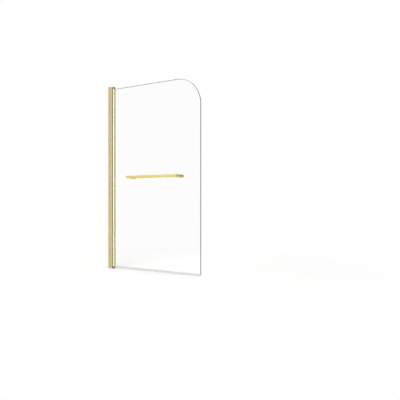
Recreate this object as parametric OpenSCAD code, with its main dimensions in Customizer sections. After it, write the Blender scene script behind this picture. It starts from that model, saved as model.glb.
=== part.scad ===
// Pivot glass screen: one clear pane carried by a round hinge profile that turns in a
// concave wall post, with a mitred towel bar through the glass.
// X runs out from the wall, Y from the towel bar's side through the glass, Z is up.
// The origin is on the wall plane, at the middle of the glass thickness, at the profiles' foot.

/* [Overall] */
// Wall face to the free edge of the glass
overall_w = 864; // [700:1:1100]
// Height of the wall profiles
profile_h = 1473; // [1200:1:1800]

/* [Glass] */
// Thickness of the toughened glass
glass_t = 8; // [6:0.1:10]
// Radius of the top corner on the free side
corner_r = 203; // [20:1:320]
// Width of the ground arris round the glass
arris = 1.2; // [0.4:0.1:2]
// Bottom edge of the glass above the barrel's lower end
glass_seat = 0.5; // [0.5:0.5:4]
// How far the glass stops short of the barrel's top end
glass_drop = 1.5; // [0.5:0.5:6]

/* [Wall channel] */
// Outside width of the channel
channel_w = 25; // [24:0.5:32]
// Depth of the channel, out from the wall
channel_d = 22; // [18:0.5:26]
// Thickness of the channel's two side walls
channel_wall = 1.6; // [1.2:0.1:2]
// Thickness of the channel's back, against the wall
channel_back = 2; // [1.6:0.1:2.6]
// Radius of the wall screw holes
wall_hole_r = 2.6; // [2:0.1:3.2]
// First and last wall screw, in from the channel's ends
wall_hole_inset = 100; // [60:5:160]
// Number of wall screws
wall_hole_count = 4; // [2:1:6]

/* [Hinge post] */
// Pull-out of the post: gap left behind it in the channel
post_pull = 3; // [1:0.5:8]
// Thickness of the post's walls
post_wall = 1.6; // [1.2:0.1:2]
// How far the two horns beside the cradle reach past the barrel's back
horn = 1.6; // [0:0.1:2.4]
// Thickness of the post's front wall behind the cradle
cradle_t = 2.2; // [1.8:0.1:3]
// Number of fixing screws through the channel's side
fixing_count = 3; // [2:1:5]
// First and last fixing screw, in from the channel's ends
fixing_inset = 150; // [100:5:260]

/* [Pivot barrel] */
// Wall face to the turning axis
axis_x = 48.5; // [46:0.1:60]
// Outside radius of the round barrel
barrel_r = 12; // [12:0.1:14.6]
// Thickness of the barrel's round wall
barrel_wall = 2.2; // [1.8:0.1:2.6]
// How far the glazing jaws stand out past the round barrel
jaw_nose = 4; // [1:0.1:5]
// Thickness of each glazing jaw
jaw_t = 1.4; // [1.2:0.1:2]
// Thickness of the glazing gasket
gasket_t = 0.6; // [0.4:0.1:1]
// Radius of the pivot pins
pin_r = 2.5; // [2:0.1:3]

/* [Pivot brackets] */
// Height of the bottom bracket's arm
bottom_arm_h = 11.5; // [11:0.5:17]
// Height of the top bracket's arm
top_arm_h = 12.5; // [8:0.5:17]
// Length of the bracket spigots inside the post
spigot_l = 24; // [20:1:32]
// Bottom bracket above the post's foot
bracket_low = 1; // [0.5:0.5:3]
// Top bracket below the top of the post
bracket_drop = 4; // [1.5:0.5:9]

/* [Towel bar] */
// Length of the bar over its mitred corners
bar_l = 468; // [300:1:580]
// Radius of the tube of the bar and its posts
bar_r = 11; // [8:0.5:12]
// Wall thickness of the tube
bar_wall = 1.2; // [1:0.1:2]
// Middle of the bar from the free edge of the glass
bar_from_edge = 400; // [330:1:420]
// Height of the bar above the post's foot
bar_z = 733; // [600:1:900]
// Bar centre line to the middle of the glass
bar_standoff = 60; // [45:1:80]
// Radius of the flanges against the glass
flange_r = 12; // [11:0.5:16]
// Radius of the knobs
knob_r = 11; // [9:0.5:12]
// Length of the knobs
knob_l = 33; // [18:1:36]

/* [Bottom seal] */
// Height of the seal's clip on the glass
clip_h = 10; // [6:1:16]
// Wall thickness of the seal
seal_t = 1; // [0.8:0.1:1.4]

/* [Hidden] */
$fn = 96;
eps = 0.01;
past = 1;

// Clearances
slide_gap = 0.3;
run_gap = 0.3;
bore_gap = 0.05;
press_gap = 0.02;
bond_gap = 0.03;
plug_gap = 0.15;
cradle_gap = 1.4;
washer_t = 1;

// Stiffening ribs in the channel's back
rib_w = 1.4;
rib_h = 1.2;
rib_y = channel_w / 2 - 5.3;

// Post section
cradle_r = barrel_r + cradle_gap;
post_x0 = channel_back + post_pull;
post_x1 = axis_x - barrel_r + horn;
post_half = channel_w / 2 - channel_wall - slide_gap;
post_corner_r = 0.8;
cavity_half = post_half - post_wall;
cavity_x0 = post_x0 + post_wall;
cavity_x1 = axis_x - cradle_r - cradle_t;
back_opening = 11;

// Wiper grooves in the post's front wall
groove_mouth = 1.2;
groove_head = 2.2;
groove_x0 = cavity_x1 + 1.8;
groove_x1 = groove_x0 + 1.2;
groove_y = min(post_half - 2.4, barrel_r - 3.8);
wiper_play = 0.1;
wiper_root = 1.4;
lip_shift = 0.8;

// Screw ports in the post
port_bore_r = 1.8;
port_r = 3.6;
port_slit = 1.4;
port_bite = 0.2;
port_x = cavity_x1 - 5.9;
port_y = cavity_half - port_r + port_bite;
screw_shank_r = port_bore_r - bore_gap;
screw_head_r = 2.75;
screw_head_h = 2.2;
screw_grip = 14;

// Barrel section, measured from the turning axis
jaw_reach = barrel_r + jaw_nose;
slot_half = glass_t / 2 + gasket_t;
jaw_half = slot_half + jaw_t;
jaw_tip_r = 0.9;
chamber_r = barrel_r - barrel_wall;
chamber_cut = pin_r + 1.3;
slot_bottom = chamber_cut + 1.3;
glass_inset = slot_bottom + gasket_t;
gasket_back = 0.6;

// Heights up the hinge line
flange_t = 1.5;
bottom_arm_z1 = bracket_low + bottom_arm_h;
top_arm_z1 = profile_h - bracket_drop;
top_arm_z0 = top_arm_z1 - top_arm_h;
barrel_z0 = bottom_arm_z1 + washer_t + flange_t;
barrel_z1 = top_arm_z0 - run_gap - washer_t - flange_t;
wiper_clear = 2;

// Brackets and pivot pins
arm_clear = 0.5;
arm_root = 3;
eye_r = barrel_r - 0.5;
eye_chamfer = 1;
pocket_wall = 2.4;
pocket_side = 3;
pocket_floor = 3;
pin_reach = 22;
pin_head_r = 4.6;
pin_head_h = 2.4;
pin_tip = 1;
driver_slot_w = 1.2;
driver_slot_h = 1.1;

// Barrel plugs and their screws
plug_l = 26;
plug_screw_z = 16;
plug_screw_back = 5.2;
plug_screw_r = 1.2;
plug_screw_hole_r = 1.6;
plug_screw_y0 = chamber_r / 3 + 1;
plug_screw_y1 = sqrt(pow(barrel_r, 2) - pow(plug_screw_back, 2)) - 0.2;

// Glass panel
glass_x0 = axis_x + glass_inset;
glass_z0 = barrel_z0 + glass_seat;
glass_z1 = barrel_z1 - glass_drop;
corner_x = overall_w - corner_r;
corner_z = glass_z1 - corner_r;
glass_hole_r = 6;

// Side fixing screws with their covers
fixing_x = (post_x0 + channel_d) / 2;
fixing_head_r = 3.6;
fixing_head_h = 2.2;
fixing_l = 7;
cap_t = 1;
cap_gap = 0.3;

// Towel bar
bar_x = overall_w - bar_from_edge;
post_spacing = bar_l - 2 * bar_r;
post_xs = [bar_x - post_spacing / 2, bar_x + post_spacing / 2];
washer_r = flange_r - 0.5;
face_y = glass_t / 2 + washer_t;
post_l = bar_standoff - face_y;
post_base = 12;
flange_h = 3;
flange_chamfer = 0.8;
mitre_l = 60;
end_plug_l = 26;
end_plug_r = bar_r - bar_wall - 0.1;
stud_r = 3;
stud_bore_r = stud_r + bore_gap;
stud_depth = bar_r - bar_wall - 2.4;
knob_thread = 16;
knob_flange_h = 2;
knob_chamfer = 1;
knob_groove_y = 5;
knob_groove_w = 1;
knob_groove_h = 0.6;

// Bottom seal
seal_gap = 0.05;
seal_start = axis_x + jaw_reach + 0.6;
seal_end = overall_w - 2;
seal_web_z = glass_z0 - seal_gap - seal_t;
bulb_r = 4.6;
bulb_z = seal_web_z - bulb_r + 0.6;
sweep_gap = 1;
sweep_lean = 1.5;
rail_out = 7;
rail_drop = 8;

// Rounded rectangle standing on x from x0 to x1 and y from -h to h
module rounded_bar_2d(x0, x1, h, r) {
    translate([x0 + r, -h]) square([x1 - x0 - 2 * r, 2 * h]);
    translate([x0, -h + r]) square([x1 - x0, 2 * h - 2 * r]);
    for (x = [x0 + r, x1 - r], y = [-h + r, h - r]) translate([x, y]) circle(r);
}

// Cylinder along Y, from y0 to y1
module y_cylinder(r, y0, y1) {
    translate([0, y0, 0]) rotate([-90, 0, 0]) cylinder(r = r, h = y1 - y0);
}

// Cone along Y, from radius r0 at y0 to r1 at y1
module y_cone(r0, r1, y0, y1) {
    translate([0, y0, 0]) rotate([-90, 0, 0]) cylinder(r1 = r0, r2 = r1, h = y1 - y0);
}

// Cross recess, w long and t wide, sunk from z = 0
module cross_recess(w, t, depth) {
    for (turn = [0, 90]) rotate(turn)
        translate([-w / 2, -t / 2, -depth]) cube([w, t, depth + past]);
}

// Evenly spaced heights, from inset to the profile height less inset
function row_heights(count, inset) =
    [for (i = [0:count - 1]) inset + i * (profile_h - 2 * inset) / (count - 1)];

// Section of the wall channel, with rounded front edges and two ribs that stiffen its back
module channel_2d() {
    half = channel_w / 2;
    edge_r = channel_wall / 2;
    difference() {
        union() {
            translate([0, -half]) square([channel_d - edge_r + 0.2, channel_w]);
            for (side = [-1, 1]) translate([channel_d - edge_r, side * (half - edge_r)]) circle(edge_r);
        }
        translate([channel_back, -half + channel_wall])
            square([channel_d, channel_w - 2 * channel_wall]);
    }
    for (side = [-1, 1]) translate([channel_back - eps, side * rib_y - rib_w / 2])
        square([rib_h + eps, rib_w]);
}

module wall_channel() {
    color("#c9b98e") difference() {
        linear_extrude(profile_h) channel_2d();
        for (z = row_heights(wall_hole_count, wall_hole_inset)) translate([-past, 0, z])
            rotate([0, 90, 0]) cylinder(r = wall_hole_r, h = channel_back + 2 * past);
        for (z = row_heights(fixing_count, fixing_inset)) translate([fixing_x, 0, z])
            y_cylinder(screw_shank_r + slide_gap, 0, channel_w);
    }
}

// Open screw port, a slit tube against the post's side wall
module screw_port_2d(side) {
    translate([port_x, side * port_y]) difference() {
        circle(port_r);
        circle(port_bore_r);
        translate([-port_slit / 2, side > 0 ? -port_r - past : 0]) square([port_slit, port_r + past]);
    }
}

// Section of the hinge post: open at the back over the wall screws' heads, with a
// concave cradle between two horns and a wiper groove beside each horn
module post_2d() {
    difference() {
        rounded_bar_2d(post_x0, post_x1, post_half, post_corner_r);
        translate([cavity_x0, -cavity_half]) square([cavity_x1 - cavity_x0, 2 * cavity_half]);
        translate([post_x0 - past, -back_opening / 2]) square([post_wall + 2 * past, back_opening]);
        translate([axis_x, 0]) circle(cradle_r);
        for (side = [-1, 1]) {
            translate([groove_x0, side * groove_y - groove_mouth / 2])
                square([post_x1 - groove_x0 + past, groove_mouth]);
            translate([groove_x0, side * groove_y - groove_head / 2])
                square([groove_x1 - groove_x0, groove_head]);
        }
    }
    intersection() {
        translate([cavity_x0, -cavity_half - eps])
            square([cavity_x1 - cavity_x0, 2 * cavity_half + 2 * eps]);
        union() for (side = [-1, 1]) screw_port_2d(side);
    }
}

// What one bracket needs cleared in the post, from its end inward: its spigot and its arm
module bracket_room(inset, arm_h) {
    translate([cavity_x0 + eps, -cavity_half + eps, -past])
        cube([cavity_x1 - cavity_x0, 2 * cavity_half - 2 * eps, inset + spigot_l + arm_clear + past]);
    translate([cavity_x1 - past, -cavity_half + eps, -past])
        cube([post_x1 - cavity_x1 + 2 * past, 2 * cavity_half - 2 * eps, inset + arm_h + arm_clear + past]);
}

module hinge_post() {
    color("#d3c48f") difference() {
        linear_extrude(profile_h) post_2d();
        bracket_room(bracket_low, bottom_arm_h);
        translate([0, 0, profile_h]) mirror([0, 0, 1]) bracket_room(bracket_drop, top_arm_h);
        for (z = row_heights(fixing_count, fixing_inset)) translate([fixing_x, 0, z])
            y_cylinder(screw_shank_r + bore_gap, 0, channel_w);
    }
}

// Wiper strip: its head locks in a groove and its lip bears near the barrel
module wiper_2d(side) {
    head = groove_head - 2 * wiper_play;
    stem = groove_mouth - 2 * wiper_play;
    lip_y = groove_y + lip_shift;
    lip_x = axis_x - sqrt(pow(barrel_r + run_gap, 2) - pow(lip_y - stem / 2, 2));
    mirror([0, side > 0 ? 0 : 1]) {
        translate([groove_x0 + wiper_play, groove_y - head / 2])
            square([groove_x1 - groove_x0 - 2 * wiper_play, head]);
        translate([groove_x0 + wiper_play, groove_y - stem / 2])
            square([post_x1 - groove_x0, stem]);
        polygon([
            [post_x1 + wiper_play, groove_y - stem / 2],
            [lip_x, lip_y - stem / 2],
            [lip_x, lip_y + stem / 2],
            [post_x1 + wiper_play, groove_y + wiper_root]
        ]);
    }
}

module wiper(side) {
    z0 = bottom_arm_z1 + wiper_clear;
    color("#57534e") translate([0, 0, z0])
        linear_extrude(top_arm_z0 - wiper_clear - z0) wiper_2d(side);
}

module front_wiper_seal() { wiper(-1); }

module rear_wiper_seal() { wiper(1); }

// Pivot bracket, drawn with its arm's outer face at z = 0 and its spigot pointing up
module bracket(arm_h) {
    spigot_half = cavity_half - plug_gap;
    difference() {
        union() {
            linear_extrude(spigot_l)
                rounded_bar_2d(cavity_x0 + plug_gap, cavity_x1 - plug_gap, spigot_half, 1);
            translate([cavity_x1 - arm_root, -spigot_half, 0])
                cube([axis_x - cavity_x1 + arm_root, 2 * spigot_half, arm_h]);
            translate([axis_x, 0, 0]) {
                cylinder(r1 = eye_r - eye_chamfer, r2 = eye_r, h = eye_chamfer);
                translate([0, 0, eye_chamfer]) cylinder(r = eye_r, h = arm_h - eye_chamfer);
            }
        }
        translate([axis_x, 0, -past]) cylinder(r = pin_r + press_gap, h = arm_h + 2 * past);
        translate([axis_x, 0, -past]) cylinder(r = pin_head_r + 0.2, h = pin_head_h + past);
        for (side = [-1, 1]) translate([port_x, side * port_y, -past]) {
            cylinder(r = screw_shank_r + 0.2, h = spigot_l + 2 * past);
            cylinder(r = screw_head_r + plug_gap, h = screw_head_h + 0.2 + past);
        }
        translate([cavity_x0 + pocket_wall, -cavity_half + pocket_side, pocket_floor])
            cube([port_x - port_bore_r - cavity_x0 - 2 * pocket_wall, 2 * (cavity_half - pocket_side),
                spigot_l]);
    }
}

module bottom_pivot_bracket() {
    color("#55524f") translate([0, 0, bracket_low]) bracket(bottom_arm_h);
}

module top_pivot_bracket() {
    color("#55524f") translate([0, 0, top_arm_z1]) mirror([0, 0, 1]) bracket(top_arm_h);
}

// Pivot pin with its head at z = 0, pointing up through an arm into the barrel's plug
module pivot_pin(arm_h) {
    length = arm_h + washer_t + flange_t + pin_reach;
    difference() {
        union() {
            cylinder(r = pin_head_r, h = pin_head_h);
            cylinder(r = pin_r, h = length - pin_tip);
            translate([0, 0, length - pin_tip]) cylinder(r1 = pin_r, r2 = pin_r - 0.7, h = pin_tip);
        }
        translate([-pin_head_r, -driver_slot_w / 2, -eps])
            cube([2 * pin_head_r, driver_slot_w, driver_slot_h]);
    }
}

module bottom_pivot_pin() {
    color("#b9bcbf") translate([axis_x, 0, bracket_low]) pivot_pin(bottom_arm_h);
}

module top_pivot_pin() {
    color("#b9bcbf") translate([axis_x, 0, top_arm_z1]) mirror([0, 0, 1]) pivot_pin(top_arm_h);
}

module thrust_washer() {
    difference() {
        cylinder(r = barrel_r - 3, h = washer_t);
        translate([0, 0, -past]) cylinder(r = pin_r + 0.2, h = washer_t + 2 * past);
    }
}

module bottom_thrust_washer() {
    color("#ece9e1") translate([axis_x, 0, bottom_arm_z1]) thrust_washer();
}

module top_thrust_washer() {
    color("#ece9e1") translate([axis_x, 0, barrel_z1 + flange_t]) thrust_washer();
}

// Self-tapping screw with its head's top at z = 0, pointing down
module port_screw() {
    difference() {
        union() {
            translate([0, 0, -screw_head_h]) cylinder(r = screw_head_r, h = screw_head_h);
            translate([0, 0, -spigot_l - screw_grip])
                cylinder(r = screw_shank_r, h = spigot_l + screw_grip - screw_head_h + eps);
        }
        cross_recess(3.4, 0.7, 1.2);
    }
}

module bracket_screws() {
    color("#b9bcbf") for (side = [-1, 1]) {
        translate([port_x, side * port_y, top_arm_z1]) port_screw();
        translate([port_x, side * port_y, bracket_low]) mirror([0, 0, 1]) port_screw();
    }
}

// Pan-head screws through the channel's side, seated on its outer face
module channel_fixing_screws() {
    y0 = channel_w / 2;
    color("#b9bcbf") for (z = row_heights(fixing_count, fixing_inset)) translate([fixing_x, 0, z])
        difference() {
            union() {
                y_cone(fixing_head_r, fixing_head_r - 0.8, y0, y0 + fixing_head_h);
                y_cylinder(screw_shank_r, y0 - fixing_l, y0 + eps);
            }
            translate([0, y0 + fixing_head_h, 0]) rotate([-90, 0, 0]) cross_recess(3.8, 0.8, 1.2);
        }
}

// Snap-on cover: a shallow cup over a fixing screw's head
module screw_cover_caps() {
    y0 = channel_w / 2;
    y1 = y0 + fixing_head_h + cap_gap;
    inner_r = fixing_head_r + cap_gap;
    color("#d3c48f") for (z = row_heights(fixing_count, fixing_inset)) translate([fixing_x, 0, z])
        difference() {
            union() {
                y_cylinder(inner_r + cap_t, y0, y1);
                y_cone(inner_r + cap_t, inner_r, y1, y1 + cap_t);
            }
            y_cylinder(inner_r, y0 - past, y1);
        }
}

// Outline of the barrel: a round back with two glazing jaws
module barrel_outline_2d() {
    circle(barrel_r);
    rounded_bar_2d(0, jaw_reach, jaw_half, jaw_tip_r);
}

// Hollow of the barrel behind the glazing slot, less a clearance all round
module chamber_2d(clear = 0) {
    intersection() {
        circle(chamber_r - clear);
        translate([-barrel_r, -barrel_r]) square([barrel_r + chamber_cut - clear, 2 * barrel_r]);
    }
}

module barrel_2d() {
    difference() {
        barrel_outline_2d();
        chamber_2d();
        translate([slot_bottom, -slot_half]) square([jaw_reach, 2 * slot_half]);
    }
}

module pivot_barrel() {
    color("#d8c994") difference() {
        translate([axis_x, 0, barrel_z0]) linear_extrude(barrel_z1 - barrel_z0) barrel_2d();
        for (z = [barrel_z0 + plug_screw_z, barrel_z1 - plug_screw_z])
            translate([axis_x - plug_screw_back, 0, z]) y_cylinder(plug_screw_hole_r, 0, barrel_r + past);
    }
}

// Plug for the barrel's lower end, with its flange's lower face at z = 0
module barrel_plug() {
    difference() {
        union() {
            linear_extrude(flange_t) barrel_outline_2d();
            linear_extrude(flange_t + plug_l) chamber_2d(plug_gap);
        }
        translate([0, 0, -past]) cylinder(r = pin_r + bore_gap, h = flange_t + pin_reach + past);
        translate([-plug_screw_back, 0, flange_t + plug_screw_z])
            y_cylinder(plug_screw_r + bore_gap, plug_screw_y0 - past, barrel_r);
    }
}

module bottom_barrel_plug() {
    color("#55524f") translate([axis_x, 0, barrel_z0 - flange_t]) barrel_plug();
}

module top_barrel_plug() {
    color("#55524f") translate([axis_x, 0, barrel_z1 + flange_t]) mirror([0, 0, 1]) barrel_plug();
}

// Two small slotted screws that keep the plugs in the barrel
module barrel_plug_screws() {
    color("#b9bcbf") for (z = [barrel_z0 + plug_screw_z, barrel_z1 - plug_screw_z])
        translate([axis_x - plug_screw_back, 0, z]) difference() {
            y_cylinder(plug_screw_r, plug_screw_y0, plug_screw_y1);
            translate([-plug_screw_r - 0.1, plug_screw_y1 - 0.7, -0.2])
                cube([2 * plug_screw_r + 0.2, past, 0.4]);
        }
}

// U-shaped gasket round the glass edge in the barrel's slot
module glazing_gasket() {
    color("#dfe3df") translate([axis_x, 0, barrel_z0]) linear_extrude(barrel_z1 - barrel_z0)
        difference() {
            translate([slot_bottom + bond_gap, -slot_half + bond_gap])
                square([jaw_reach - slot_bottom - gasket_back, 2 * (slot_half - bond_gap)]);
            translate([glass_inset - bond_gap, -glass_t / 2 - bond_gap])
                square([jaw_reach, glass_t + 2 * bond_gap]);
        }
}

// Outline of the glass in the X-Z plane
module glass_2d() {
    translate([glass_x0, glass_z0]) {
        square([corner_x - glass_x0, glass_z1 - glass_z0]);
        square([overall_w - glass_x0, corner_z - glass_z0]);
    }
    translate([corner_x, corner_z]) circle(corner_r, $fn = 360);
}

// Section of the cutter that grinds the arris: a diamond on the glass's edge line
module arris_2d() {
    polygon([[arris, 0], [0, arris], [-arris, 0], [0, -arris]]);
}

// Cutter for the arris along the top or the bottom edge, from x0 to x1 at height z
module level_arris(x0, x1, z) {
    translate([x0, 0, z]) rotate([90, 0, 90]) linear_extrude(x1 - x0) arris_2d();
}

// Cutter for the arris up the free edge and round the top corner
module free_arris() {
    translate([overall_w, 0, glass_z0 - past]) linear_extrude(corner_z - glass_z0 + past) arris_2d();
    translate([corner_x, 0, corner_z]) rotate([90, 0, 0]) rotate_extrude(angle = 90, $fn = 360)
        translate([corner_r, 0]) arris_2d();
}

module glass_panel() {
    color("#dcebe4", 0.35) difference() {
        translate([0, glass_t / 2, 0]) rotate([90, 0, 0]) linear_extrude(glass_t) glass_2d();
        for (x = post_xs) translate([x, 0, bar_z]) y_cylinder(glass_hole_r, -glass_t, glass_t);
        for (y = [-glass_t / 2, glass_t / 2]) translate([0, y, 0]) {
            level_arris(glass_x0 - past, corner_x, glass_z1);
            level_arris(glass_x0 - past, overall_w + past, glass_z0);
            free_arris();
        }
    }
}

// Section of the bottom seal, in Y and Z: clip, hollow bulb, wiping fin and drip rail
module drip_seal_2d() {
    inner = glass_t / 2 + seal_gap;
    outer = inner + seal_t;
    difference() {
        translate([-outer, seal_web_z]) square([2 * outer, seal_t + clip_h]);
        translate([-inner, seal_web_z + seal_t]) square([2 * inner, clip_h + past]);
    }
    difference() {
        translate([0, bulb_z]) circle(bulb_r);
        translate([0, bulb_z]) circle(bulb_r - seal_t);
    }
    fin_top = bulb_z - bulb_r + seal_t / 2;
    polygon([
        [-seal_t / 2, fin_top],
        [sweep_lean, sweep_gap],
        [sweep_lean + seal_t, sweep_gap],
        [seal_t / 2, fin_top]
    ]);
    polygon([
        [outer - seal_t, seal_web_z],
        [outer + 0.8 * rail_out, seal_web_z - rail_drop / 2],
        [outer + rail_out, seal_web_z - rail_drop],
        [outer + rail_out + seal_t, seal_web_z - rail_drop],
        [outer + 0.8 * rail_out + seal_t, seal_web_z - rail_drop / 2 + 0.6],
        [outer - eps, seal_web_z + 1.6]
    ]);
}

module bottom_drip_seal() {
    color("#e6ebe8", 0.6) translate([seal_start, 0, 0]) rotate([90, 0, 90])
        linear_extrude(seal_end - seal_start) drip_seal_2d();
}

// Puts its children at one corner of the towel bar, drawn for the free side's corner:
// the bar comes in along X from the left and the post leaves along Y
module at_corner(i) {
    translate([post_xs[i], -bar_standoff, bar_z]) mirror([i == 0 ? 1 : 0, 0, 0]) children();
}

// Block with one face on the mitre plane, shifted off it by a gap: on the post's side
// of the plane, or on the bar's side where bar_side is true
module mitre_block(gap, bar_side = false) {
    rotate(45) translate([bar_side ? gap - mitre_l : gap, -mitre_l / 2, -mitre_l / 2]) cube(mitre_l);
}

module towel_bar() {
    color("#e5d283") difference() {
        translate([bar_x, -bar_standoff, bar_z]) rotate([0, 90, 0]) difference() {
            cylinder(r = bar_r, h = bar_l, center = true);
            cylinder(r = bar_r - bar_wall, h = bar_l + 2 * past, center = true);
        }
        for (i = [0, 1]) at_corner(i) mitre_block(0);
    }
}

// Solid plug in one end of the bar, cut to the mitre, that takes the stud's thread
module end_plug(i) {
    color("#e5d283") at_corner(i) difference() {
        translate([-end_plug_l, 0, 0]) rotate([0, 90, 0]) cylinder(r = end_plug_r, h = end_plug_l + bar_r);
        mitre_block(-plug_gap);
        y_cylinder(stud_bore_r, -stud_depth, bar_r);
    }
}

module wall_side_end_plug() { end_plug(0); }

module free_side_end_plug() { end_plug(1); }

// Tubular post from the mitre to the glass, with a solid base and a turned flange
module bar_post(i) {
    color("#dcc97c") at_corner(i) difference() {
        union() {
            y_cylinder(bar_r, -bar_r, post_l);
            y_cone(bar_r, flange_r, post_l - flange_h, post_l - flange_h + flange_chamfer);
            y_cylinder(flange_r, post_l - flange_h + flange_chamfer, post_l);
        }
        y_cylinder(bar_r - bar_wall, -bar_r - past, post_l - post_base);
        y_cylinder(stud_bore_r, 0, post_l + past);
        mitre_block(press_gap, true);
    }
}

module wall_side_post() { bar_post(0); }

module free_side_post() { bar_post(1); }

module bar_stud(i) {
    color("#b9bcbf") at_corner(i)
        y_cylinder(stud_r, -stud_depth, bar_standoff + face_y + knob_thread - past);
}

module wall_side_stud() { bar_stud(0); }

module free_side_stud() { bar_stud(1); }

module glass_sleeves() {
    color("#ece9e1") for (x = post_xs) translate([x, 0, bar_z]) difference() {
        y_cylinder(glass_hole_r - 0.1, -glass_t / 2, glass_t / 2);
        y_cylinder(stud_bore_r, -glass_t, glass_t);
    }
}

// Soft washers between the metal and the glass, on one face
module glass_washers(side) {
    color("#8f8d88") for (x = post_xs) translate([x, side * (glass_t + washer_t) / 2, bar_z])
        difference() {
            y_cylinder(washer_r, -washer_t / 2, washer_t / 2);
            y_cylinder(stud_bore_r, -washer_t, washer_t);
        }
}

module outer_glass_washers() { glass_washers(-1); }

module inner_glass_washers() { glass_washers(1); }

// Knob that screws on the stud, turned with a flange and a fine groove
module knob(i) {
    groove_y0 = knob_l - knob_groove_y;
    color("#dcc97c") translate([post_xs[i], face_y, bar_z]) difference() {
        union() {
            y_cylinder(flange_r, 0, knob_flange_h);
            y_cone(flange_r, knob_r, knob_flange_h, knob_flange_h + flange_chamfer);
            y_cylinder(knob_r, knob_flange_h, knob_l - knob_chamfer);
            y_cone(knob_r, knob_r - knob_chamfer, knob_l - knob_chamfer, knob_l);
        }
        difference() {
            y_cylinder(knob_r + past, groove_y0, groove_y0 + knob_groove_w);
            y_cylinder(knob_r - knob_groove_h, groove_y0 - past, groove_y0 + knob_groove_w + past);
        }
        y_cylinder(stud_bore_r, -past, knob_thread);
    }
}

module wall_side_knob() { knob(0); }

module free_side_knob() { knob(1); }

wall_channel();
hinge_post();
front_wiper_seal();
rear_wiper_seal();
top_pivot_bracket();
bottom_pivot_bracket();
top_pivot_pin();
bottom_pivot_pin();
bottom_thrust_washer();
bracket_screws();
channel_fixing_screws();
screw_cover_caps();
pivot_barrel();
top_barrel_plug();
bottom_barrel_plug();
top_thrust_washer();
barrel_plug_screws();
glazing_gasket();
glass_panel();
bottom_drip_seal();
towel_bar();
wall_side_end_plug();
free_side_end_plug();
wall_side_post();
free_side_post();
wall_side_stud();
free_side_stud();
glass_sleeves();
outer_glass_washers();
inner_glass_washers();
wall_side_knob();
free_side_knob();
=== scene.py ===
"""Looks of a pivot glass screen: a clear pane on a round hinge profile, turning in a wall post.

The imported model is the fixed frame: every rigid piece keeps its place and shape and gets its
finish here. The silicone beads beside the glass are added, and a pale studio is set round the
screen. X runs out from the wall, Y from the towel bar's side through the glass, and Z up, all in
metres.
"""
import logging
import math
from dataclasses import dataclass
from enum import Enum
from typing import Dict, List, NamedTuple, Optional, Sequence, Tuple, Union

import bmesh
import bpy
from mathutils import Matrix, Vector


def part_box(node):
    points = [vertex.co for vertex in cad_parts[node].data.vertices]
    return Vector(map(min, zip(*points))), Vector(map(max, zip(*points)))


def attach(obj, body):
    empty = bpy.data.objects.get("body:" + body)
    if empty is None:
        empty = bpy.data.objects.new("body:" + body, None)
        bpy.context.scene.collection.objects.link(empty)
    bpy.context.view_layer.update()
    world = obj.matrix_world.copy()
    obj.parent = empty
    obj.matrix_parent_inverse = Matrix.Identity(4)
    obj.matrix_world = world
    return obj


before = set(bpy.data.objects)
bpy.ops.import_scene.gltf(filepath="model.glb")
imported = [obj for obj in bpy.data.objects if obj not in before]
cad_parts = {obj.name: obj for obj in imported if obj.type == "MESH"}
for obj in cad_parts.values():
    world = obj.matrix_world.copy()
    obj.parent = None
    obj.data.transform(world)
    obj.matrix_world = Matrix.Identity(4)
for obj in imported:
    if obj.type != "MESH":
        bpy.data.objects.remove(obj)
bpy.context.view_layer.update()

LOG = logging.getLogger("screen")
MM = 0.001
QUARTER_TURN = math.radians(90)

Number = Union[float, "Shade"]
Inputs = Dict[Union[int, str], object]
Colour = Tuple[float, float, float, float]
Place = Tuple[float, float, float]

WHITE: Colour = (1.0, 1.0, 1.0, 1.0)

# The curve by which screens turn a channel's level into light.
TOP_LEVEL = 255.0
CURVE_FOOT = 0.04045
CURVE_SLOPE = 12.92
CURVE_OFFSET = 0.055
CURVE_POWER = 2.4

# What every noise has: the strength of its finer noise, and the value that it swings round.
NOISE_ROUGHNESS = 0.5
NOISE_MIDDLE = 0.5

# How many rays the edge finder sends out from a point.
EDGE_SAMPLES = 4

# The sockets of a Mix node that mixes colours, which share their names with its other sockets.
MIX_FACTOR = 0
MIX_FIRST = 6
MIX_SECOND = 7
MIX_RESULT = 2


class Grain(Enum):
    """Which way a piece is brushed or drawn: the axis that its fine lines follow."""

    ALONG_X = (1.0, 0.0, 0.0)
    ALONG_Y = (0.0, 1.0, 0.0)
    ALONG_Z = (0.0, 0.0, 1.0)


class Side(Enum):
    """A face of the glass: the towel bar's side or the knobs' side."""

    BAR = -1
    KNOB = 1


class Detail(Enum):
    """How many octaves of finer noise lie in a patch."""

    SMOOTH = 1.0
    SOFT = 2.0
    FINE = 3.0
    SCRATCHED = 4.0


class Span(NamedTuple):
    """A low and a high value: where a step starts and ends, or the light of two tones."""

    low: float
    high: float


class Relief(NamedTuple):
    """How deep a bump is, in metres, and the share of it that shows."""

    depth: float
    strength: float


def light_of(level: float) -> float:
    """Turn a channel's level into light.

    Args:
        level: From 0 to 255.

    Returns:
        From 0 to 1.
    """
    value = level / TOP_LEVEL
    if value <= CURVE_FOOT:
        return value / CURVE_SLOPE
    return ((value + CURVE_OFFSET) / (1.0 + CURVE_OFFSET)) ** CURVE_POWER


@dataclass(frozen=True)
class Tint:
    """A colour as it is read off a sample card, each channel from 0 to 255."""

    red: float
    green: float
    blue: float

    def linear(self, share: float = 1.0) -> Colour:
        """Work out the colour's light values.

        Args:
            share: How much of the light is kept, 1 for all of it.

        Returns:
            Red, green, blue and an alpha of 1.
        """
        levels = (self.red, self.green, self.blue)
        red, green, blue = (min(1.0, light_of(level) * share) for level in levels)
        return (red, green, blue, 1.0)


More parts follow.
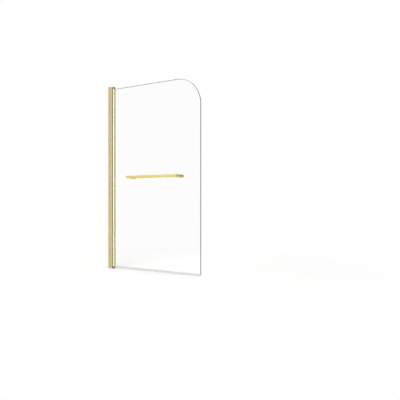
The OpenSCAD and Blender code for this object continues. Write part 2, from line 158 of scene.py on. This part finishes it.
class Shade:
    """An output socket that stands for a number in Python expressions."""

    def __init__(self, bench: "Bench", socket: bpy.types.NodeSocket) -> None:
        """Wrap an output socket of a node in the bench's tree."""
        self.bench = bench
        self.socket = socket

    def math(self, operation: str, *values: Number) -> "Shade":
        """Add a Math node whose inputs hold the values in order."""
        return self.bench.add("ShaderNodeMath", {"operation": operation}, dict(enumerate(values)))

    def __add__(self, other: Number) -> "Shade":
        """Add a value."""
        return self.math("ADD", self, other)

    def __radd__(self, other: Number) -> "Shade":
        """Add to a value."""
        return self.math("ADD", other, self)

    def __sub__(self, other: Number) -> "Shade":
        """Take a value away."""
        return self.math("SUBTRACT", self, other)

    def __rsub__(self, other: Number) -> "Shade":
        """Take away from a value."""
        return self.math("SUBTRACT", other, self)

    def __mul__(self, other: Number) -> "Shade":
        """Multiply by a value."""
        return self.math("MULTIPLY", self, other)

    def __rmul__(self, other: Number) -> "Shade":
        """Multiply a value."""
        return self.math("MULTIPLY", other, self)

    def size(self) -> "Shade":
        """Drop the sign."""
        return self.math("ABSOLUTE", self)

    def root(self) -> "Shade":
        """Take the square root."""
        return self.math("SQRT", self)

    def most(self, other: Number) -> "Shade":
        """Take the larger of two values."""
        return self.math("MAXIMUM", self, other)

    def swing(self, width: float) -> "Shade":
        """Turn a noise round 0.5 into a swing of that width round 0."""
        return (self - NOISE_MIDDLE) * width

    def rise(self, span: Span) -> "Shade":
        """Rise smoothly from 0 at one value to 1 at another.

        Args:
            span: Where the result starts to rise and where it reaches 1.

        Returns:
            The smooth step.
        """
        return self.bench.add(
            "ShaderNodeMapRange",
            {"interpolation_type": "SMOOTHSTEP"},
            {
                "Value": self,
                "From Min": span.low,
                "From Max": span.high,
                "To Min": 0.0,
                "To Max": 1.0,
            },
            "Result",
        )


class Bench:
    """The node tree of one material or world, and the one place where its nodes are made."""

    def __init__(self, tree: bpy.types.NodeTree) -> None:
        """Empty a material's or the world's node tree and start from there."""
        self.tree = tree
        tree.nodes.clear()

    def node(
        self,
        kind: str,
        settings: Optional[Dict[str, object]] = None,
        inputs: Optional[Inputs] = None,
    ) -> bpy.types.Node:
        """Make a node, set it and feed it.

        Args:
            kind: The node's type.
            settings: Its own settings, which are set first.
            inputs: Values or shades by socket name or number.

        Returns:
            The node.
        """
        node = self.tree.nodes.new(kind)
        for name, value in (settings or {}).items():
            setattr(node, name, value)
        for key, value in (inputs or {}).items():
            if isinstance(value, Shade):
                self.tree.links.new(value.socket, node.inputs[key])
            else:
                node.inputs[key].default_value = value
        return node

    def add(
        self,
        kind: str,
        settings: Optional[Dict[str, object]] = None,
        inputs: Optional[Inputs] = None,
        output: Union[int, str] = 0,
    ) -> Shade:
        """Make a node in the same way and read one of its outputs."""
        return Shade(self, self.node(kind, settings, inputs).outputs[output])

    def read(self, node: bpy.types.Node, *names: str) -> List[Shade]:
        """Read several outputs of one node by name."""
        return [Shade(self, node.outputs[name]) for name in names]

    def split(self, vector: Shade) -> List[Shade]:
        """Take a vector apart into X, Y and Z."""
        return self.read(self.node("ShaderNodeSeparateXYZ", inputs={"Vector": vector}), *"XYZ")

    def place(self) -> List[Shade]:
        """Read the point's place on the piece, which stays with the piece when it moves."""
        return self.split(self.add("ShaderNodeTexCoord", output="Object"))

    def facing(self) -> List[Shade]:
        """Read which way the surface faces on the piece itself."""
        return self.split(self.add("ShaderNodeTexCoord", output="Normal"))

    def noise(self, widths: Sequence[float], detail: Detail) -> Shade:
        """Make cloudy noise on the piece.

        Args:
            widths: How wide a patch is along X, Y and Z.
            detail: How much finer noise lies in a patch.

        Returns:
            A value round 0.5.
        """
        point = [part * (1.0 / width) for part, width in zip(self.place(), widths)]
        vector = self.add("ShaderNodeCombineXYZ", inputs=dict(zip("XYZ", point)))
        return self.add(
            "ShaderNodeTexNoise",
            {"noise_dimensions": "3D"},
            {
                "Vector": vector,
                "Scale": 1.0,
                "Detail": detail.value,
                "Roughness": NOISE_ROUGHNESS,
            },
            "Fac",
        )

    def grain(self, along: Grain, fine: float, reach: float) -> Shade:
        """Make lines that reach so far along one axis of the piece and are so fine across it."""
        return self.noise([reach if axis else fine for axis in along.value], Detail.FINE)

    def clouds(self, width: float, detail: Detail = Detail.SOFT) -> Shade:
        """Make patches that are equally wide every way."""
        return self.noise((width, width, width), detail)

    def edges(self, reach: float) -> Shade:
        """Find the piece's own edges.

        Args:
            reach: How far from an edge the result starts to rise.

        Returns:
            0 on an even surface, more towards an edge.
        """
        rounded = self.add("ShaderNodeBevel", {"samples": EDGE_SAMPLES}, {"Radius": reach})
        plain = self.add("ShaderNodeNewGeometry", output="Normal")
        alike = self.add(
            "ShaderNodeVectorMath",
            {"operation": "DOT_PRODUCT"},
            {0: rounded, 1: plain},
            "Value",
        )
        return 1.0 - alike

    def blend(self, factor: Number, first: object, second: object) -> Shade:
        """Mix two colours or shades, from the first at 0 to the second at 1."""
        inputs = {MIX_FACTOR: factor, MIX_FIRST: first, MIX_SECOND: second}
        return self.add("ShaderNodeMix", {"data_type": "RGBA"}, inputs, MIX_RESULT)

    def tones(self, factor: Number, tint: Tint, tones: Span) -> Shade:
        """Mix two tones of a colour, each of which has its share of the colour's light."""
        return self.blend(factor, tint.linear(tones.low), tint.linear(tones.high))

    def bump(self, height: Shade, relief: Relief) -> Shade:
        """Turn a height from 0 to 1 into a bent normal."""
        inputs = {"Height": height, "Distance": relief.depth, "Strength": relief.strength}
        return self.add("ShaderNodeBump", inputs=inputs, output="Normal")

    def skin(self, inputs: Inputs) -> Shade:
        """Make the surface shader from its sockets by name."""
        return self.add("ShaderNodeBsdfPrincipled", inputs=inputs, output="BSDF")

    def shine(self, strength: float) -> Shade:
        """Make a shader that gives off white light of one strength."""
        inputs = {"Strength": strength}
        return self.add("ShaderNodeEmission", inputs=inputs, output="Emission")

    def layer(self, factor: Number, first: Shade, second: Shade) -> Shade:
        """Mix two shaders, from the first at 0 to the second at 1."""
        inputs = {0: factor, 1: first, 2: second}
        return self.add("ShaderNodeMixShader", inputs=inputs, output="Shader")


@dataclass(frozen=True)
class Finish:
    """A finish that is worked out once and then put on any number of pieces.

    In every finish, a width or a length is the size of a mark, in metres. A swing is how far the
    mark takes the roughness from its lowest to its highest, and a polish or a dulling is taken off
    or put on where a mask is full. Tones are the shares of light of the darkest and the palest
    part. Any other span is where a mask starts and where it is full.
    """

    name: str

    def nodes(self, bench: Bench) -> Shade:
        """Work out the surface shader.

        Args:
            bench: The material's bench.

        Returns:
            The shader.
        """
        raise NotImplementedError(self.name)

    def make(self) -> bpy.types.Material:
        """Make the material.

        Returns:
            The material, with its nodes.
        """
        material = bpy.data.materials.new(self.name)
        material.use_nodes = True
        bench = Bench(material.node_tree)
        bench.node("ShaderNodeOutputMaterial", inputs={"Surface": self.nodes(bench)})
        return material


@dataclass(frozen=True)
class LacqueredGold(Finish):
    """Gold metal under clear lacquer, with brushed lines, soft clouding and edges worn pale."""

    tint: Tint
    grain: Grain
    roughness: float = 0.32
    coat: float = 0.4
    coat_roughness: float = 0.2
    coat_ior: float = 1.5
    tones: Span = Span(0.95, 1.05)
    tone_rise: Span = Span(0.3, 0.7)
    line_width: float = 0.5 * MM
    line_length: float = 160 * MM
    line_share: float = 0.55
    line_swing: float = 0.18
    line_relief: Relief = Relief(0.012 * MM, 0.6)
    cloud_width: float = 90 * MM
    cloud_swing: float = 0.1
    bare: Tint = Tint(226, 216, 178)
    bare_share: float = 0.6
    worn_reach: float = 0.5 * MM
    worn_edges: Span = Span(0.02, 0.3)
    worn_width: float = 30 * MM
    worn_patches: Span = Span(0.36, 0.62)
    worn_polish: float = 0.06

    def nodes(self, bench: Bench) -> Shade:
        """Work out the brushed and lacquered metal."""
        lines = bench.grain(self.grain, self.line_width, self.line_length)
        clouds = bench.clouds(self.cloud_width)
        worn = bench.edges(self.worn_reach).rise(self.worn_edges)
        worn = worn * bench.clouds(self.worn_width, Detail.FINE).rise(self.worn_patches)
        tone = lines * self.line_share + clouds * (1.0 - self.line_share)
        brushed = bench.tones(tone.rise(self.tone_rise), self.tint, self.tones)
        rough = self.roughness + lines.swing(self.line_swing) + clouds.swing(self.cloud_swing)
        return bench.skin(
            {
                "Base Color": bench.blend(worn * self.bare_share, brushed, self.bare.linear()),
                "Metallic": 1.0,
                "Roughness": rough - worn * self.worn_polish,
                "Coat Weight": self.coat,
                "Coat Roughness": self.coat_roughness,
                "Coat IOR": self.coat_ior,
                "Normal": bench.bump(lines, self.line_relief),
            }
        )


@dataclass(frozen=True)
class TurnedSteel(Finish):
    """Stainless steel turned on a lathe: bright, with fine rings and a little smearing."""

    tint: Tint
    axis: Grain
    roughness: float = 0.24
    tones: Span = Span(0.86, 1.0)
    ring_width: float = 0.25 * MM
    ring_length: float = 30 * MM
    ring_swing: float = 0.2
    ring_relief: Relief = Relief(0.01 * MM, 0.5)
    smear_width: float = 6 * MM
    smear_swing: float = 0.1

    def nodes(self, bench: Bench) -> Shade:
        """Work out the turned metal, whose rings are narrow along the axis and long across it."""
        rings = bench.grain(self.axis, fine=self.ring_length, reach=self.ring_width)
        smear = bench.clouds(self.smear_width)
        rough = self.roughness + rings.swing(self.ring_swing) + smear.swing(self.smear_swing)
        return bench.skin(
            {
                "Base Color": bench.tones(smear, self.tint, self.tones),
                "Metallic": 1.0,
                "Roughness": rough,
                "Normal": bench.bump(rings, self.ring_relief),
            }
        )


@dataclass(frozen=True)
class MouldedPlastic(Finish):
    """Injection-moulded plastic with a fine spark-eroded texture and rubbed high spots."""

    tint: Tint
    roughness: float = 0.5
    tones: Span = Span(0.92, 1.18)
    spark_width: float = 0.35 * MM
    spark_swing: float = 0.16
    spark_relief: Relief = Relief(0.02 * MM, 0.7)
    high_spots: Span = Span(0.52, 0.68)
    handled_width: float = 9 * MM
    handled: Span = Span(0.4, 0.62)
    rubbed_polish: float = 0.12

    def nodes(self, bench: Bench) -> Shade:
        """Work out the textured plastic."""
        spark = bench.clouds(self.spark_width, Detail.FINE)
        handled = bench.clouds(self.handled_width).rise(self.handled)
        rubbed = spark.rise(self.high_spots) * handled
        rough = self.roughness + spark.swing(self.spark_swing) - rubbed * self.rubbed_polish
        return bench.skin(
            {
                "Base Color": bench.tones(rubbed, self.tint, self.tones),
                "Roughness": rough,
                "Normal": bench.bump(spark, self.spark_relief),
            }
        )


@dataclass(frozen=True)
class WiperRubber(Finish):
    """Extruded rubber: matt, with faint lines from the die and a dusty bloom."""

    tint: Tint
    roughness: float = 0.7
    sheen: float = 0.15
    tones: Span = Span(1.0, 1.5)
    line_width: float = 0.3 * MM
    line_length: float = 120 * MM
    line_swing: float = 0.1
    line_relief: Relief = Relief(0.02 * MM, 0.6)
    bloom_width: float = 14 * MM
    bloom: Span = Span(0.42, 0.7)
    bloom_dulling: float = 0.12

    def nodes(self, bench: Bench) -> Shade:
        """Work out the rubber."""
        lines = bench.grain(Grain.ALONG_Z, self.line_width, self.line_length)
        bloom = bench.clouds(self.bloom_width, Detail.FINE).rise(self.bloom)
        rough = self.roughness + bloom * self.bloom_dulling + lines.swing(self.line_swing)
        return bench.skin(
            {
                "Base Color": bench.tones(bloom, self.tint, self.tones),
                "Roughness": rough,
                "Sheen Weight": self.sheen,
                "Normal": bench.bump(lines, self.line_relief),
            }
        )


@dataclass(frozen=True)
class ClearVinyl(Finish):
    """Clear flexible plastic: see-through from the front, with a painted sheen at its grazing
    rims, and milky where scuffed.
    """

    tint: Tint
    cover: float = 0.1
    grazing_sheen_cover: float = 0.26
    roughness: float = 0.22
    tones: Span = Span(1.0, 1.12)
    grain: Grain = Grain.ALONG_X
    line_width: float = 0.6 * MM
    line_length: float = 200 * MM
    line_swing: float = 0.1
    line_relief: Relief = Relief(0.02 * MM, 0.4)
    scuff_width: float = 18 * MM
    scuff: Span = Span(0.5, 0.72)
    scuff_cover: float = 0.1
    scuff_dulling: float = 0.2

    def nodes(self, bench: Bench) -> Shade:
        """Work out the see-through plastic."""
        lines = bench.grain(self.grain, self.line_width, self.line_length)
        scuff = bench.clouds(self.scuff_width, Detail.SCRATCHED).rise(self.scuff)
        # painted sheen: the pale vinyl shows more where the surface turns away from view, standing
        # in for its grazing reflection
        turned = bench.add("ShaderNodeLayerWeight", inputs={"Blend": 0.5}, output="Facing")
        rough = self.roughness + scuff * self.scuff_dulling + lines.swing(self.line_swing)
        return bench.skin(
            {
                "Base Color": bench.tones(scuff, self.tint, self.tones),
                "Roughness": rough,
                "Alpha": self.cover + scuff * self.scuff_cover + turned * turned * self.grazing_sheen_cover,
                "Normal": bench.bump(lines, self.line_relief),
            }
        )


@dataclass(frozen=True)
class ToughenedGlass(Finish):
    """Clear toughened glass: faintly wavy faces, ground edges that look grey-green, and a band of
    painted shade on the faces beside them.
    """

    face: Tint
    edge: Tint
    ior: float = 1.5
    wave_width: float = 180 * MM
    wave_relief: Relief = Relief(0.05 * MM, 0.3)
    flat_face: Span = Span(0.8, 0.95)
    edge_roughness: float = 0.35
    edge_gloss: float = 0.25
    edge_tones: Span = Span(0.9, 1.1)
    grit_width: float = 0.4 * MM
    grit_swing: float = 0.2
    grit_relief: Relief = Relief(0.015 * MM, 0.5)
    corner_radius: float = 203 * MM
    painted_band_width: float = 2.1 * MM
    rim_fade: float = 0.8 * MM
    foot_height: float = 1.4 * MM
    foot_clear: float = 0.85

    def painted_edge_band(self, bench: Bench) -> Shade:
        """Find the band of painted shade on each face: the ground edge's green, as seen through
        the glass.

        Args:
            bench: The material's bench.

        Returns:
            1 beside the pane's top, rounded corner and free edge, and 0 further in.
        """
        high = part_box("glass_panel")[1]
        x, _, z = bench.place()
        across = (x - (high.x - self.corner_radius)).most(0.0)
        up = (z - (high.z - self.corner_radius)).most(0.0)
        inward = self.corner_radius - (across * across + up * up).root()
        return 1.0 - inward.rise(Span(self.painted_band_width, self.painted_band_width + self.rim_fade))

    def in_seal(self, bench: Bench) -> Shade:
        """Find the bottom edge, which looks clearer where the soft seal wets it.

        Args:
            bench: The material's bench.

        Returns:
            1 on the bottom edge, and 0 above it.
        """
        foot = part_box("glass_panel")[0].z + self.foot_height
        _, _, z = bench.place()
        return 1.0 - z.rise(Span(foot, foot + self.rim_fade))

    def nodes(self, bench: Bench) -> Shade:
        """Work out the glass, which lets the lamps' light straight through."""
        _, sideways, _ = bench.facing()
        # the mask holds the real ground arrises and the band of painted shade beside the top,
        # corner and free edge
        ground = (1.0 - sideways.size().rise(self.flat_face)).most(self.painted_edge_band(bench))
        ground = ground * (1.0 - self.in_seal(bench) * self.foot_clear)
        polished = bench.skin(
            {
                "Base Color": self.face.linear(),
                "Roughness": 0.0,
                "IOR": self.ior,
                "Transmission Weight": 1.0,
                "Normal": bench.bump(
                    bench.clouds(self.wave_width, Detail.SMOOTH), self.wave_relief
                ),
            }
        )
        grit = bench.clouds(self.grit_width, Detail.FINE)
        frosted = bench.skin(
            {
                "Base Color": bench.tones(grit, self.edge, self.edge_tones),
                "Roughness": self.edge_roughness + grit.swing(self.grit_swing),
                "Specular IOR Level": self.edge_gloss,
                "Normal": bench.bump(grit, self.grit_relief),
            }
        )
        open_to_lamps = bench.add(
            "ShaderNodeBsdfTransparent", inputs={"Color": self.face.linear()}, output="BSDF"
        )
        for_lamps = bench.add("ShaderNodeLightPath", output="Is Shadow Ray")
        return bench.layer(for_lamps, bench.layer(ground, polished, frosted), open_to_lamps)


def seen_rays(bench: Bench) -> Shade:
    """Tell the rays that show the studio: to the camera, off metal and through glass.

    Args:
        bench: The bench of the material or world.

    Returns:
        1 for those rays and 0 for the rest.
    """
    kinds = ("Is Camera Ray", "Is Glossy Ray", "Is Transmission Ray")
    camera, glossy, through = bench.read(bench.node("ShaderNodeLightPath"), *kinds)
    return camera.most(glossy).most(through)


def mirrored_rays(bench: Bench) -> Shade:
    """Tell the rays that metal and glass throw back, without those that came through glass.

    Args:
        bench: The bench of the material or world.

    Returns:
        1 for those rays and 0 for the rest.
    """
    kinds = ("Is Glossy Ray", "Is Transmission Ray")
    glossy, through = bench.read(bench.node("ShaderNodeLightPath"), *kinds)
    return (glossy - through).most(0.0)


@dataclass(frozen=True)
class StudioFloor(Finish):
    """A pale floor: white and dull to the camera, with a shadow, and polished in reflections."""

    tint: Tint
    middle_x: float
    tones: Span = Span(0.99, 1.0)
    paper_width: float = 250 * MM
    dullness: float = 0.4
    glow: float = 0.2
    fade: Span = Span(0.9, 2.2)
    polish: float = 0.8
    polish_roughness: float = 0.1

    def nodes(self, bench: Bench) -> Shade:
        """Work out the floor, which fades into the white room away from the screen."""
        paper = bench.clouds(self.paper_width, Detail.FINE)
        colour = bench.tones(paper, self.tint, self.tones)
        inputs = {"Color": colour, "Roughness": self.dullness}
        lit = bench.add("ShaderNodeBsdfDiffuse", inputs=inputs, output="BSDF")
        inputs = {0: lit, 1: bench.shine(self.glow)}
        lifted = bench.add("ShaderNodeAddShader", inputs=inputs, output="Shader")
        seen = seen_rays(bench)
        near = bench.layer(seen, lit, lifted)
        x, y, _ = bench.place()
        across = x - self.middle_x
        away = (across * across + y * y).root().rise(self.fade)
        dull = bench.layer(away * seen, near, bench.shine(1.0))
        inputs = {"Color": WHITE, "Roughness": self.polish_roughness}
        polished = bench.add("ShaderNodeBsdfGlossy", inputs=inputs, output="BSDF")
        return bench.layer(mirrored_rays(bench) * self.polish, dull, polished)


@dataclass(frozen=True)
class Flag:
    """A dark panel beside the set, which shows only as a soft dip in what metal mirrors.

    Its azimuth runs from straight before the screen towards the free side. The dip starts at the
    spread and is full inside the core, as angles from its middle. All three are in degrees. Its
    depth is the light that it takes.
    """

    azimuth: float
    core: float
    spread: float
    depth: float

    def dip(self, direction: Sequence[Shade]) -> Shade:
        """Work out how much light it takes from each direction.

        Args:
            direction: Where the ray goes.

        Returns:
            From 0 off the panel to the panel's depth at its middle.
        """
        x, y, _ = direction
        turn = math.radians(self.azimuth)
        alike = x * math.sin(turn) - y * math.cos(turn)
        edge = math.cos(math.radians(self.spread))
        core = math.cos(math.radians(self.core))
        return alike.rise(Span(edge, core)) * self.depth


@dataclass(frozen=True)
class Finishes:
    """Every material of the screen, made once."""

    channel: bpy.types.Material
    profile: bpy.types.Material
    barrel: bpy.types.Material
    bar: bpy.types.Material
    shade_darkened_fitting: bpy.types.Material
    glass: bpy.types.Material
    bracket: bpy.types.Material
    rubber: bpy.types.Material
    seal: bpy.types.Material
    gasket: bpy.types.Material
    nylon: bpy.types.Material
    washer: bpy.types.Material
    steel_across: bpy.types.Material
    steel_upright: bpy.types.Material


def make_finishes() -> Finishes:
    """Make every material of the screen.

    Returns:
        The materials.
    """
    steel = Tint(196, 198, 200)
    return Finishes(
        channel=LacqueredGold("channel_gold", Tint(208, 195, 148), Grain.ALONG_Z).make(),
        profile=LacqueredGold("profile_gold", Tint(218, 206, 156), Grain.ALONG_Z).make(),
        barrel=LacqueredGold(
            "barrel_gold",
            Tint(198, 189, 146),
            Grain.ALONG_Z,
            roughness=0.23,
            coat=1.0,
            coat_roughness=0.06,
            coat_ior=1.65,
        ).make(),
        bar=LacqueredGold("bar_gold", Tint(236, 218, 131), Grain.ALONG_X, roughness=0.3).make(),
        # painted shade: the posts and knobs get the bar's gold, darkened for the shade they sit in
        # under the bar and behind the glass
        shade_darkened_fitting=LacqueredGold(
            "fitting_gold_painted_shade",
            Tint(190, 172, 84),
            Grain.ALONG_Y,
            roughness=0.28,
            line_length=40 * MM,
        ).make(),
        glass=ToughenedGlass("clear_glass", Tint(252, 252, 252), Tint(47, 89, 56)).make(),
        bracket=MouldedPlastic("bracket_grey", Tint(126, 117, 98)).make(),
        # partly painted shade: the wipers are dark rubber, and their tint is kept low to stand for
        # the shaded crevice between post and barrel
        rubber=WiperRubber("wiper_rubber", Tint(40, 38, 35)).make(),
        seal=ClearVinyl("seal_vinyl", Tint(232, 236, 234)).make(),
        # painted light: the clear gasket and beads are tinted with the barrel's gold behind them
        # and made mostly opaque, for the gold that shows through the vinyl
        gasket=ClearVinyl(
            "gasket_vinyl_painted_gold", Tint(212, 198, 148), cover=0.7, grain=Grain.ALONG_Z
        ).make(),
        nylon=MouldedPlastic(
            "white_nylon", Tint(232, 229, 220), roughness=0.42, spark_width=0.6 * MM
        ).make(),
        washer=MouldedPlastic(
            "washer_grey", Tint(150, 147, 138), roughness=0.62, spark_width=0.5 * MM
        ).make(),
        steel_across=TurnedSteel("steel_across", steel, Grain.ALONG_Y).make(),
        steel_upright=TurnedSteel("steel_upright", steel, Grain.ALONG_Z).make(),
    )


def put_on(material: bpy.types.Material, *names: str) -> None:
    """Give CAD nodes a finish.

    Args:
        material: The finish.
        names: The nodes.
    """
    for name in names:
        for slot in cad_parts[name].material_slots:
            slot.material = material
        LOG.info("%s: %s", name, material.name)


@dataclass
class WallFrame:
    """The fixed side: wall channel, hinge post, wipers, pivot brackets and their fixings."""

    finishes: Finishes

    def dress(self) -> None:
        """Put the finishes on."""
        finishes = self.finishes
        put_on(finishes.channel, "wall_channel")
        put_on(finishes.profile, "hinge_post", "screw_cover_caps")
        put_on(finishes.rubber, "front_wiper_seal", "rear_wiper_seal")
        put_on(finishes.bracket, "top_pivot_bracket", "bottom_pivot_bracket")
        put_on(finishes.steel_upright, "top_pivot_pin", "bottom_pivot_pin", "bracket_screws")
        put_on(finishes.steel_across, "channel_fixing_screws")
        put_on(finishes.nylon, "bottom_thrust_washer")


@dataclass
class GlazedDoor:
    """The turning side: barrel, plugs, gasket, glass, its silicone beads and the bottom seal."""

    finishes: Finishes
    body: str = "door"
    bead_reach: float = 1.2 * MM
    glass_gap: float = 0.02 * MM
    arc_steps: int = 6
    ring_step: float = 60 * MM

    def bead_section(self, side: Side) -> List[Tuple[float, float]]:
        """Draw a bead's section: it fills the gap beside the glass and ends in a hollow curve.

        Args:
            side: The face of the glass.

        Returns:
            The section's corners in X and Y, in order.
        """
        gasket_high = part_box("glazing_gasket")[1]
        start = gasket_high.x + self.glass_gap
        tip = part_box("pivot_barrel")[1].x
        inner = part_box("glass_panel")[1].y + self.glass_gap
        outer = gasket_high.y
        corners = [(start, inner), (start, outer), (tip, outer)]
        for i in range(1, self.arc_steps + 1):
            turn = QUARTER_TURN * i / self.arc_steps
            reach = self.bead_reach * (1.0 - math.cos(turn))
            rise = (outer - inner) * (1.0 - math.sin(turn))
            corners.append((tip + reach, inner + rise))
        return [(x, side.value * y) for x, y in corners]

    def bead(self, side: Side) -> bpy.types.Object:
        """Build one silicone bead, the length of the glass.

        Args:
            side: The face of the glass that it lies on.

        Returns:
            The bead.
        """
        low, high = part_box("glass_panel")
        height = high.z - low.z
        section = self.bead_section(side)
        count = round(height / self.ring_step)
        mesh = bmesh.new()
        rings = []
        for i in range(count + 1):
            z = low.z + height * i / count
            rings.append([mesh.verts.new((x, y, z)) for x, y in section])
        for ring, above in zip(rings, rings[1:]):
            for i, _ in enumerate(ring):
                j = (i + 1) % len(ring)
                mesh.faces.new((ring[i], ring[j], above[j], above[i]))
        mesh.faces.new(rings[0][::-1])
        mesh.faces.new(rings[-1])
        bmesh.ops.recalc_face_normals(mesh, faces=mesh.faces)
        return new_object(f"glazing_bead_{side.name.lower()}_side", mesh)

    def build(self) -> None:
        """Build the two beads and seat them on the door."""
        for side in Side:
            bead = self.bead(side)
            bead.data.materials.append(self.finishes.gasket)
            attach(bead, self.body)
            LOG.info("%s: %d faces", bead.name, len(bead.data.polygons))

    def dress(self) -> None:
        """Put the finishes on."""
        finishes = self.finishes
        put_on(finishes.barrel, "pivot_barrel")
        put_on(finishes.bracket, "top_barrel_plug", "bottom_barrel_plug")
        put_on(finishes.nylon, "top_thrust_washer")
        put_on(finishes.steel_across, "barrel_plug_screws")
        put_on(finishes.gasket, "glazing_gasket")
        put_on(finishes.glass, "glass_panel")
        put_on(finishes.seal, "bottom_drip_seal")


@dataclass
class TowelBar:
    """The towel bar with its end plugs, posts, studs, washers, sleeves and knobs."""

    finishes: Finishes

    def dress(self) -> None:
        """Put the finishes on."""
        finishes = self.finishes
        put_on(finishes.bar, "towel_bar", "wall_side_end_plug", "free_side_end_plug")
        put_on(finishes.shade_darkened_fitting, "wall_side_post", "free_side_post")
        put_on(finishes.shade_darkened_fitting, "wall_side_knob", "free_side_knob")
        put_on(finishes.steel_across, "wall_side_stud", "free_side_stud")
        put_on(finishes.nylon, "glass_sleeves")
        put_on(finishes.washer, "outer_glass_washers", "inner_glass_washers")


def new_object(name: str, mesh: bmesh.types.BMesh) -> bpy.types.Object:
    """Turn a built mesh into an object of the scene.

    Args:
        name: The object's name.
        mesh: The mesh, which is freed.

    Returns:
        The object.
    """
    data = bpy.data.meshes.new(name)
    mesh.to_mesh(data)
    mesh.free()
    piece = bpy.data.objects.new(name, data)
    bpy.context.scene.collection.objects.link(piece)
    return piece


@dataclass
class Lamp:
    """A soft box: a flat rectangle that shines at a target, and that metal may mirror."""

    name: str
    place: Place
    target: Place
    width: float
    height: float
    radiance: float
    mirrored: bool = True

    def build(self) -> None:
        """Hang the lamp and turn it to its target."""
        light = bpy.data.lights.new(self.name, "AREA")
        light.shape = "RECTANGLE"
        light.size = self.width
        light.size_y = self.height
        light.energy = self.radiance * math.pi * self.width * self.height
        lamp = bpy.data.objects.new(self.name, light)
        lamp.location = self.place
        lamp.visible_glossy = self.mirrored
        aim = Vector(self.target) - Vector(self.place)
        lamp.rotation_euler = aim.to_track_quat("-Z", "Y").to_euler()
        bpy.context.scene.collection.objects.link(lamp)
        LOG.info("%s: %.0f W", self.name, light.energy)


@dataclass
class Studio:
    """Floor, world, lamps and camera round the screen.

    The middle is what the lamps aim at. Azimuths are in degrees, from straight before the screen
    towards its free side. The sensor is in millimetres, and the focal length is in pixels of an
    image as wide as is said.
    """

    middle: Place = (0.43, 0.0, 0.74)
    floor_half: float = 30.0
    floor_z: float = -0.5 * MM
    floor_tint: Tint = Tint(238, 238, 237)
    ambient: float = 0.72
    flags: Tuple[Flag, ...] = (
        Flag(azimuth=-98.0, core=26.0, spread=52.0, depth=0.9),
        Flag(azimuth=145.0, core=10.0, spread=40.0, depth=0.25),
    )
    front_azimuth: float = 9.0
    front_distance: float = 4.6
    front_height: float = 1.4
    top_place: Place = (0.2, -0.6, 3.4)
    camera_place: Place = (2.4680, -2.7922, 0.5544)
    camera_azimuth: float = 30.0
    camera_reach: float = 100.0
    sensor: float = 36.0
    focal_px: float = 447.0
    image_px: float = 400.0

    def build(self) -> None:
        """Set the whole studio up."""
        self.build_floor()
        self.build_world()
        self.build_lamps()
        self.build_camera()
        bpy.context.scene.view_settings.view_transform = "Standard"

    def build_floor(self) -> None:
        """Lay a wide pale floor under the screen's foot."""
        mesh = bmesh.new()
        half = self.floor_half
        corners = [(-half, -half), (half, -half), (half, half), (-half, half)]
        mesh.faces.new([mesh.verts.new((x, y, self.floor_z)) for x, y in corners])
        floor = new_object("studio_floor", mesh)
        finish = StudioFloor("studio_floor", self.floor_tint, middle_x=self.middle[0])
        floor.data.materials.append(finish.make())

    def build_world(self) -> None:
        """Fill the room with pale light, and show white where nothing stands."""
        world = bpy.data.worlds.new("studio_world")
        world.use_nodes = True
        bench = Bench(world.node_tree)
        direction = bench.split(bench.add("ShaderNodeTexCoord", output="Generated"))
        mirrored = mirrored_rays(bench)
        strength = self.ambient + seen_rays(bench) * (1.0 - self.ambient)
        for flag in self.flags:
            strength = strength - mirrored * flag.dip(direction)
        sky = bench.add("ShaderNodeBackground", inputs={"Color": WHITE, "Strength": strength})
        bench.node("ShaderNodeOutputWorld", inputs={"Surface": sky})
        bpy.context.scene.world = world

    def build_lamps(self) -> None:
        """Hang one soft box before the screen, and one above it that metal doesn't mirror."""
        turn = math.radians(self.front_azimuth)
        front_place = (
            self.middle[0] + self.front_distance * math.sin(turn),
            self.middle[1] - self.front_distance * math.cos(turn),
            self.front_height,
        )
        front = Lamp(
            "front_softbox", front_place, self.middle, width=2.0, height=2.8, radiance=2.8
        )
        top = Lamp(
            "top_softbox",
            self.top_place,
            self.middle,
            width=4.0,
            height=4.0,
            radiance=0.55,
            mirrored=False,
        )
        for lamp in (front, top):
            lamp.build()

    def build_camera(self) -> None:
        """Stand the camera where the photograph was taken from, and level it."""
        data = bpy.data.cameras.new("camera")
        data.sensor_width = self.sensor
        data.lens = self.sensor * self.focal_px / self.image_px
        data.clip_end = self.camera_reach
        camera = bpy.data.objects.new("camera", data)
        camera.location = self.camera_place
        camera.rotation_euler = (QUARTER_TURN, 0.0, math.radians(self.camera_azimuth))
        bpy.context.scene.collection.objects.link(camera)
        bpy.context.scene.camera = camera


def main() -> None:
    """Dress the screen, add what is missing and light it."""
    logging.basicConfig(level=logging.INFO, format="%(name)s: %(message)s")
    finishes = make_finishes()
    WallFrame(finishes).dress()
    door = GlazedDoor(finishes)
    door.build()
    door.dress()
    TowelBar(finishes).dress()
    Studio().build()


if __name__ == "__main__":
    main()
